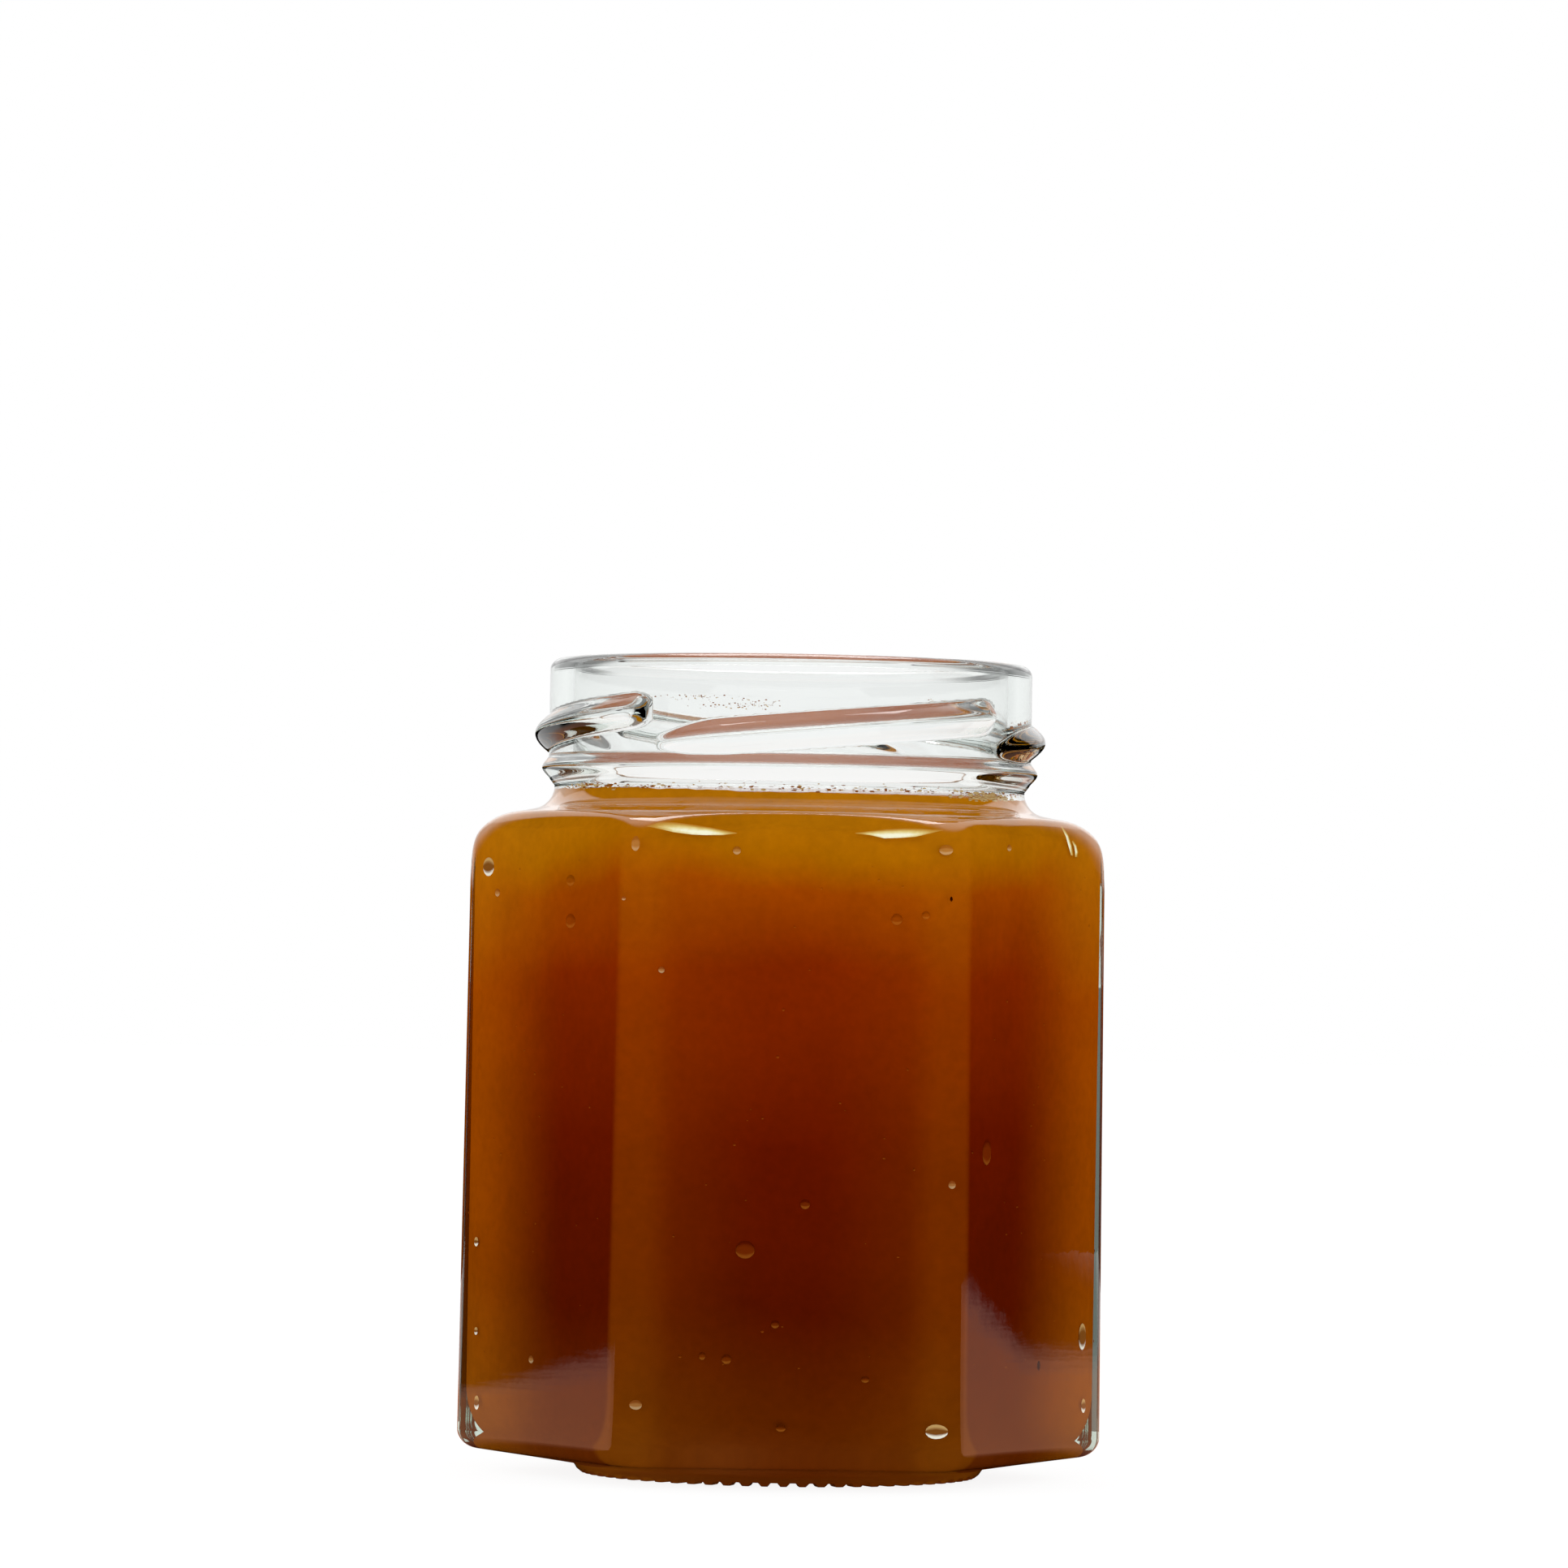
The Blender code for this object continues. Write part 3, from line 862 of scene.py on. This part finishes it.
HIGHLIGHT_STREAKS = (
    HighlightStreak(
        face=Face.FRONT,
        upper=((797, 1018), (812, 1013), (828, 1014), (854, 1017), (877, 1020), (893, 1023), (908, 1026)),
        lower=((797, 1019), (811, 1022), (830, 1026), (853, 1028.5), (870, 1029), (890, 1029), (908, 1027)),
        shine=(0.05, 0.4, 0.75, 0.95, 1.0, 0.65, 0.2),
    ),
    HighlightStreak(
        face=Face.FRONT,
        upper=((1054, 1026), (1072, 1024), (1093, 1022), (1114, 1021.5))
        + ((1135, 1022), (1150, 1023), (1162, 1022)),
        lower=((1054, 1027), (1072, 1029), (1090, 1033), (1110, 1032.5))
        + ((1128, 1031.5), (1146, 1028), (1162, 1024)),
        shine=(0.2, 0.65, 1.0, 0.95, 0.75, 0.4, 0.05),
    ),
    HighlightStreak(
        face=Face.RIGHT,
        upper=((1312, 1021), (1318, 1030), (1322, 1042), (1324, 1054)),
        lower=((1310, 1022), (1315, 1032), (1318, 1043), (1321, 1054)),
        shine=(0.3, 0.9, 1.0, 0.5),
    ),
    HighlightStreak(
        face=Face.RIGHT,
        upper=((1324, 1036), (1328, 1042), (1330, 1050), (1329, 1056)),
        lower=((1322, 1037), (1325, 1043), (1326, 1050), (1326, 1056)),
        shine=(0.3, 0.8, 0.9, 0.4),
    ),
)


@dataclass(frozen=True)
class Cluster:
    """A patch of small droplets on the inside of the neck."""

    turn: float  # degrees from the front towards +X
    turn_spread: float
    z: float
    z_spread: float
    count: int
    largest: float
    sandy: float  # the share of them that is sandy


CLUSTERS = (
    Cluster(0.0, 180.0, 76.6 * MM, 0.35 * MM, 460, 0.18 * MM, 0.4),
    Cluster(0.0, 180.0, 77.3 * MM, 0.3 * MM, 110, 0.11 * MM, 0.5),
    Cluster(-62.0, 7.0, 76.9 * MM, 0.6 * MM, 55, 0.34 * MM, 0.6),
    Cluster(57.0, 9.0, 75.9 * MM, 0.5 * MM, 150, 0.36 * MM, 0.95),
    Cluster(-26.0, 9.0, 86.6 * MM, 0.3 * MM, 60, 0.07 * MM, 0.2),
    Cluster(-14.0, 9.0, 85.8 * MM, 0.45 * MM, 90, 0.07 * MM, 0.2),
    Cluster(44.0, 12.0, 86.7 * MM, 0.25 * MM, 40, 0.06 * MM, 0.2),
    Cluster(78.0, 7.0, 83.6 * MM, 1.2 * MM, 60, 0.2 * MM, 0.3),
)


@dataclass
class SmallThings:
    """Bubbles, specks, painted highlights and smears between the preserve and the glass, with painted light
    and shade.
    """

    sizes: JarSizes
    camera: "PhotoCamera"
    seed: int = 7
    outer_flat: float = 31.65 * MM  # how far from the axis the faces are half way up
    into_wall: float = 0.1 * MM
    scale: float = 11.2 / MM  # the photograph's pixels to a metre at the front face
    side_turn: float = 0.5  # how narrow the side faces make a thing
    deepest: float = 0.25 * MM
    highlight_flat: float = 30.35 * MM
    speck_count: int = 170
    speck_reach: float = 14.5 * MM  # how far to each side of a face's middle
    speck_heights: Point2 = (10.0, 69.0)  # millimetres
    speck_sizes: Point2 = (0.06, 0.2)  # millimetres
    speck_depth: float = 0.07 * MM
    smear_depth: float = 0.06 * MM
    smear_into_wall: float = 0.12 * MM
    smear_spread: float = 0.6

    def at_glass(self, x: float, y: float, face: Face, depth: float) -> Vector:
        """Where a photograph's pixel, seen through a face, shows the plane this far from the axis."""
        start, along = self.camera.ray(x, y)
        normal = face.normal()
        entry = start + along * ((self.outer_flat - start.dot(normal)) / along.dot(normal))
        cosine = -along.dot(normal)
        inside = math.sqrt(1 - (1 - cosine * cosine) / GLASS_INDEX**2)
        bent = along / GLASS_INDEX + normal * (cosine / GLASS_INDEX - inside)
        return entry + bent * ((depth - entry.dot(normal)) / bent.dot(normal))

    def marks(self, name: str, finish: PaintedFacingLight, marks: Iterable[Mark]) -> None:
        """Makes one piece of bubbles or specks of one finish."""
        dabs = Dabs(name)
        for mark in marks:
            normal = mark.face.normal()
            centre = self.at_glass(mark.x, mark.y, mark.face, self.sizes.cavity_flat + self.into_wall)
            foreshortened = 1.0 if mark.face is Face.FRONT else self.side_turn
            half_width = mark.half_width / self.scale / foreshortened
            half_height = mark.half_height / self.scale
            half_depth = min(half_width, half_height, self.deepest)
            dabs.add(centre, normal, (half_width, half_height, half_depth))
        dabs.build(finish.material())

    def streaks(self) -> None:
        """Makes the painted highlight streaks at the shoulder."""
        points, faces, glow = [], [], []
        for streak in HIGHLIGHT_STREAKS:
            steps = len(streak.upper)
            for row, (bright, edge) in enumerate(streak.rows()):
                first = len(points)
                points += [self.at_glass(x, y, streak.face, self.highlight_flat) for x, y in edge]
                glow += [bright * along for along in streak.shine]
                if row:
                    faces += [(a - steps, a, a + 1, a + 1 - steps) for a in range(first, first + steps - 1)]
        mesh = bpy.data.meshes.new("shoulder_highlights")
        mesh.from_pydata([tuple(point) for point in points], [], faces)
        shine = mesh.color_attributes.new("shine", "FLOAT_COLOR", "POINT")
        for item, value in zip(shine.data, glow):
            item.color = (value, value, value, 1.0)
        # Painted highlight: brightness from each point's highlight value, roughened by noise.
        material, nodes, shader = new_material("painted highlight", 0.4)
        share = nodes.add("ShaderNodeVertexColor", layer_name="shine").outputs["Color"]
        rough = nodes.sway(0.5, 1500.0, 3.0, 0.6)
        share = nodes.math("ADD", share, nodes.times(share, rough))
        nodes.put(nodes.ramp(share, HIGHLIGHT_COLOURS), shader.inputs["Base Color"])
        mesh.materials.append(material)
        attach(linked("shoulder_highlights", mesh), "root")

    def smears(self) -> None:
        """Makes the droplets on the inside of the neck."""
        random = np.random.default_rng(self.seed)
        sandy, amber = Dabs("sand_smears", 8, 5), Dabs("amber_smears", 8, 5)
        for cluster in CLUSTERS:
            all_round = cluster.turn_spread > 90
            for _ in range(cluster.count):
                spread = random.uniform(-1, 1) if all_round else random.normal() * self.smear_spread
                angle = FRONT + math.radians(cluster.turn + spread * cluster.turn_spread)
                z = cluster.z + random.normal() * self.smear_spread * cluster.z_spread
                normal = Vector((math.cos(angle), math.sin(angle), 0.0))
                radius = float(self.sizes.root_bore(np.array(z), -self.smear_into_wall))
                half = cluster.largest * random.uniform(0.25, 1.0) ** 1.5
                dabs = sandy if random.uniform() < cluster.sandy else amber
                centre = normal * radius
                centre.z = z
                stretch = random.uniform(1.0, 2.2)
                dabs.add(centre, normal, (half * stretch, half, self.smear_depth))
        sandy.build(SAND_SMEAR.material())
        amber.build(AMBER_SMEAR.material())

    def specks(self) -> None:
        """Makes the fine specks all round the sides."""
        random = np.random.default_rng(self.seed + 1)
        dabs = Dabs("fine_specks", 8, 5)
        for _ in range(self.speck_count):
            side = int(random.integers(SIDES))
            angle = FRONT + side * FACE_ANGLE
            normal = Vector((math.cos(angle), math.sin(angle), 0.0))
            tangent = Vector((-normal.y, normal.x, 0.0))
            along = random.uniform(-1, 1) * self.speck_reach
            centre = normal * (self.sizes.cavity_flat + self.into_wall) + tangent * along
            centre.z = random.uniform(*self.speck_heights) * MM
            half = random.uniform(*self.speck_sizes) * MM
            dabs.add(centre, normal, (half, half, self.speck_depth))
        dabs.build(FAINT_AIR.material())

    def build(self) -> None:
        """Makes all of them."""
        self.marks("bright_bubbles", BRIGHT_AIR, BRIGHT_MARKS)
        self.marks("pale_bubbles", PALE_AIR, PALE_MARKS)
        self.marks("faint_bubbles", FAINT_AIR, FAINT_MARKS)
        self.marks("dark_specks", DARK_SPECK, DARK_MARKS)
        self.streaks()
        self.smears()
        self.specks()


@dataclass(frozen=True)
class SheetEnd:
    """Where the sheet's warm light ends on the lines that one side face mirrors."""

    side: float  # 1 for the right-hand face and -1 for the left-hand one
    along: Point2  # the way that the lines go, outwards and back
    ends: Point2  # how far out it ends on the lines nearest the front, and on those farthest from it
    across: Point2  # the places across the lines that these two hold for

    def share(self, nodes: NodeMaker) -> Socket:
        """How far out a point lies on its line, 1 where the light ends, and large on the other side."""
        place = nodes.parts(nodes.object_place())
        out = nodes.times(place["X"], self.side)
        far = nodes.times(out, self.along[0])
        far = nodes.math("ADD", far, nodes.times(place["Y"], self.along[1]))
        back = nodes.times(place["Y"], self.along[0])
        across = nodes.math("SUBTRACT", back, nodes.times(out, self.along[1]))
        nearer = nodes.times(nodes.step(across, *self.across), self.ends[0] - self.ends[1])
        share = nodes.math("DIVIDE", far, nodes.math("SUBTRACT", self.ends[0], nearer))
        return nodes.math("ADD", share, nodes.times(nodes.math("LESS_THAN", out, 0.0), 9.0))


@dataclass
class Stage:
    """The pale floor, the white surroundings and the studio lights."""

    floor_half: float = 4.0
    floor_z: float = -0.05 * MM
    floor_colour: Colour = (0.17, 0.17, 0.17)
    floor_glow: float = 0.88
    floor_dark: float = 0.9  # how dark the glass finds it beside the jar
    floor_beside: Point2 = (0.05, 0.08)
    side_dark: float = 0.92  # how dark the glass finds the sides just above the horizon
    sideways: Point2 = (0.1, 0.2)  # from where it counts as beside, against straight ahead
    sheet_low: Point2 = (-0.7, -0.034)
    sheet_high: Point2 = (0.7, 0.5)
    sheet_z: float = -0.02 * MM
    sheet_front: Point2 = (-0.021, -0.02)  # from where it shines
    sheet_ring: Point2 = (0.034, 0.044)  # and how far from the jar's middle
    sheet_ends: tuple[SheetEnd, SheetEnd] = (
        SheetEnd(1.0, (0.834, 0.552), (0.58, 0.32), (-0.042, -0.027)),
        SheetEnd(-1.0, (0.865, 0.502), (0.30, 0.175), (-0.042, -0.014)),
    )
    sheet_fade: Point2 = (0.78, 1.22)
    sheet_radiance: Colour = (0.79, 0.38, 0.245)
    beyond_radiance: Colour = (0.75, 0.75, 0.75)  # past the warm light's end, which only the neck mirrors
    beyond_slope: float = 0.6  # how it begins farther back, farther aside
    beyond_start: Point2 = (0.01, 0.05)
    horizon: Point2 = (-0.0015, 0.0)  # this and what follows are parts of a direction's length
    side_top: Point2 = (0.012, 0.018)
    sheen_radiance: float = 1.4
    sheen_up: Point2 = (0.03, 0.2)
    sheen_aside: Point2 = (0.38, 0.55)
    sheen_back: Point2 = (-0.3, 0.5)
    wide_sheen_up: Point2 = (0.25, 0.35)
    wide_sheen_back: Point2 = (0.54, 0.6)
    edge_radiance: float = 0.9
    edge_up: Point2 = (0.019, 0.027)
    edge_down: Point2 = (-0.14, -0.09)
    edge_back: Point2 = (0.55, 0.75)
    softbox_place: Vector = field(default_factory=lambda: Vector((0.0, 0.25, 0.75)))
    softbox_aim: Vector = field(default_factory=lambda: Vector((0.0, 0.0, 0.07)))
    softbox_size: Point2 = (0.5, 0.35)
    softbox_watts: float = 3.0

    def plane(self, name: str, low: Point2, high: Point2, z: float) -> bpy.types.Object:
        """A level rectangle."""
        mesh = bpy.data.meshes.new(name)
        corners = [(low[0], low[1], z), (high[0], low[1], z), (high[0], high[1], z), (low[0], high[1], z)]
        mesh.from_pydata(corners, [], [(0, 1, 2, 3)])
        item = linked(name, mesh)
        return item

    def floor(self) -> None:
        """The floor, which mirrors don't see, and the sheet that they see in its place."""
        half = self.floor_half
        floor = self.plane("floor", (-half, -half), (half, half), self.floor_z)
        material, nodes, shader = new_material("pale floor", 1.0)
        shader.inputs["Base Color"].default_value = (*self.floor_colour, 1.0)
        shader.inputs["Emission Color"].default_value = (1.0, 1.0, 1.0, 1.0)
        place = nodes.parts(nodes.object_place())
        aside = nodes.math("ABSOLUTE", place["X"])
        turn = nodes.math("DIVIDE", aside, nodes.math("ADD", place["Y"], nodes.math("ADD", aside, 0.02)))
        beside = nodes.times(nodes.step(turn, *self.sideways), nodes.step(aside, *self.floor_beside))
        through = nodes.add("ShaderNodeLightPath").outputs["Is Transmission Ray"]
        dark = nodes.times(nodes.times(beside, through), self.floor_dark)
        glow = nodes.times(nodes.rest(dark), self.floor_glow)
        nodes.put(glow, shader.inputs["Emission Strength"])
        floor.data.materials.append(material)
        floor.visible_glossy = False
        sheet = self.plane("mirrored_sheet", self.sheet_low, self.sheet_high, self.sheet_z)
        sheet.data.materials.append(self.sheet_glow())
        sheet.visible_camera = sheet.visible_diffuse = False
        sheet.visible_transmission = sheet.visible_shadow = False

    def sheet_glow(self) -> bpy.types.Material:
        """The sheet's warm light, which ends along an uneven line behind the jar on each side."""
        glow = bpy.data.materials.new("mirrored sheet")
        glow.use_nodes = True
        nodes = NodeMaker(glow.node_tree)
        share = nodes.math("MINIMUM", *(end.share(nodes) for end in self.sheet_ends))
        grain = nodes.sway(0.55, 90.0, 6.0, 0.75)
        ending = nodes.step(nodes.math("ADD", share, grain), *self.sheet_fade)
        middle = nodes.add("ShaderNodeVectorMath", {0: nodes.object_place()}, operation="LENGTH")
        place = nodes.parts(nodes.object_place())
        aside = nodes.times(nodes.math("ABSOLUTE", place["X"]), self.beyond_slope)
        beyond = nodes.step(nodes.math("SUBTRACT", place["Y"], aside), *self.beyond_start)
        lasting = nodes.math("MAXIMUM", nodes.rest(ending), beyond)
        around = nodes.times(nodes.step(middle.outputs["Value"], *self.sheet_ring), lasting)
        strength = nodes.times(around, nodes.step(place["Y"], *self.sheet_front))
        colour = nodes.mix(ending, (*self.sheet_radiance, 1.0), (*self.beyond_radiance, 1.0))
        emission = nodes.add("ShaderNodeEmission", {"Color": colour, "Strength": strength})
        nodes.show(emission.outputs[0], "Surface")
        return glow

    def surroundings(self) -> None:
        """White all round, but for what mirrors and glass find at the sides and in front."""
        world = bpy.data.worlds.new("studio")
        bpy.context.scene.world = world
        world.use_nodes = True
        nodes = NodeMaker(world.node_tree)
        towards = nodes.parts(nodes.add("ShaderNodeTexCoord").outputs["Generated"])
        back, up = towards["Y"], towards["Z"]
        aside = nodes.math("ABSOLUTE", towards["X"])
        path = nodes.add("ShaderNodeLightPath").outputs
        low = nodes.math("SUBTRACT", nodes.step(up, *self.horizon), nodes.step(up, *self.side_top))
        dark_side = nodes.times(nodes.times(nodes.step(aside, *self.sideways), low), self.side_dark)
        is_through = path["Is Transmission Ray"]
        direct = nodes.rest(nodes.times(dark_side, is_through))
        narrow = nodes.rest(nodes.step(aside, *self.sheen_aside))
        near = nodes.times(nodes.step(up, *self.sheen_up), narrow)
        wide_up = nodes.step(up, *self.wide_sheen_up)
        wide = nodes.times(nodes.step(back, *self.wide_sheen_back), wide_up)
        overhead = nodes.times(nodes.math("MAXIMUM", near, wide), nodes.step(back, *self.sheen_back))
        sheen = nodes.times(overhead, self.sheen_radiance)
        steep = nodes.rest(nodes.step(up, *self.edge_down))
        lit = nodes.math("MAXIMUM", nodes.step(up, *self.edge_up), steep)
        edges = nodes.times(nodes.step(back, *self.edge_back), lit)
        mirrored = nodes.math("MAXIMUM", sheen, nodes.times(edges, self.edge_radiance))
        is_mirrored = nodes.times(path["Is Glossy Ray"], nodes.rest(is_through))
        change = nodes.times(is_mirrored, nodes.math("SUBTRACT", mirrored, direct))
        background = nodes.tree.nodes["Background"]
        background.inputs["Color"].default_value = (1.0, 1.0, 1.0, 1.0)
        nodes.put(nodes.math("ADD", direct, change), background.inputs["Strength"])

    def softbox(self) -> None:
        """An area light that looks at the jar's shoulder, and lights only what mirrors it."""
        lamp = bpy.data.lights.new("softbox", "AREA")
        lamp.shape = "RECTANGLE"
        lamp.size, lamp.size_y = self.softbox_size
        lamp.energy = self.softbox_watts
        item = linked("softbox", lamp)
        item.location = self.softbox_place
        aim = self.softbox_aim - self.softbox_place
        item.rotation_euler = aim.to_track_quat("-Z", "Y").to_euler()
        item.visible_diffuse = item.visible_camera = item.visible_transmission = False

    def build(self) -> None:
        """Makes the floor, the surroundings and the light."""
        self.floor()
        self.surroundings()
        self.softbox()


@dataclass(frozen=True)
class PhotoCamera:
    """The photograph's viewpoint and framing."""

    image_width: int = 1932
    sensor: float = 36.0
    distance: float = 862 * MM
    scale: float = 10.92  # photograph pixels to a millimetre, at the jar's axis
    azimuth: float = math.radians(-1.7)
    eye_z: float = 57.2 * MM
    roll: float = math.radians(0.985)
    centre_up: float = 223.9  # pixels from the axis at eye level up to the image's centre
    centre_left: float = 6.85  # pixels from the axis to the image's centre, to the left

    @property
    def focal(self) -> float:
        """The focal length in the photograph's pixels."""
        return self.scale * self.distance / MM

    def axes(self) -> tuple[Vector, Vector, Vector, Vector]:
        """The camera's place and its right, up and forward directions."""
        place = Vector((math.sin(self.azimuth), -math.cos(self.azimuth), 0.0)) * self.distance
        place.z = self.eye_z
        yaw = math.atan(self.centre_left / self.focal)
        pitch = math.atan(self.centre_up / self.focal)
        ahead = Vector((-place.x, -place.y, 0.0)).normalized()
        ahead.rotate(Matrix.Rotation(yaw, 3, "Z"))
        forward = ahead * math.cos(pitch) + Vector((0.0, 0.0, math.sin(pitch)))
        right = forward.cross(Vector((0.0, 0.0, 1.0))).normalized()
        up = right.cross(forward)
        rolled_right = right * math.cos(self.roll) + up * math.sin(self.roll)
        rolled_up = up * math.cos(self.roll) - right * math.sin(self.roll)
        return place, rolled_right, rolled_up, forward

    def ray(self, x: float, y: float) -> tuple[Vector, Vector]:
        """Where a photograph's pixel is seen from, and which way."""
        place, right, up, forward = self.axes()
        middle = self.image_width / 2
        along = forward + right * ((x - middle) / self.focal) + up * ((middle - y) / self.focal)
        return place, along.normalized()

    def build(self) -> None:
        """Makes the camera and sets it as the scene's."""
        data = bpy.data.cameras.new("camera")
        data.sensor_width = self.sensor
        data.lens = self.focal * self.sensor / self.image_width
        data.clip_start, data.clip_end = 0.05, 50.0
        place, right, up, forward = self.axes()
        turn = Matrix((right, up, -forward)).transposed()
        camera = linked("camera", data)
        camera.matrix_world = Matrix.Translation(place) @ turn.to_4x4()
        bpy.context.scene.camera = camera


def main() -> None:
    """Builds the jar, its contents, the stage and the camera."""
    logging.basicConfig(level=logging.INFO, format="%(message)s")
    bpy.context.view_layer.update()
    camera = PhotoCamera()
    camera.build()
    sizes = JarSizes()
    jar = GlassJar(sizes)
    jar.build(ClearGlass().material())
    Preserve(jar).build(AmberPreserve())
    SmallThings(sizes, camera).build()
    Stage().build()
    bpy.context.scene.view_settings.view_transform = "Standard"
    for item in bpy.context.scene.objects:
        if item.type == "MESH":
            log.info("%s has %d faces", item.name, len(item.data.polygons))


if __name__ == "__main__":
    main()
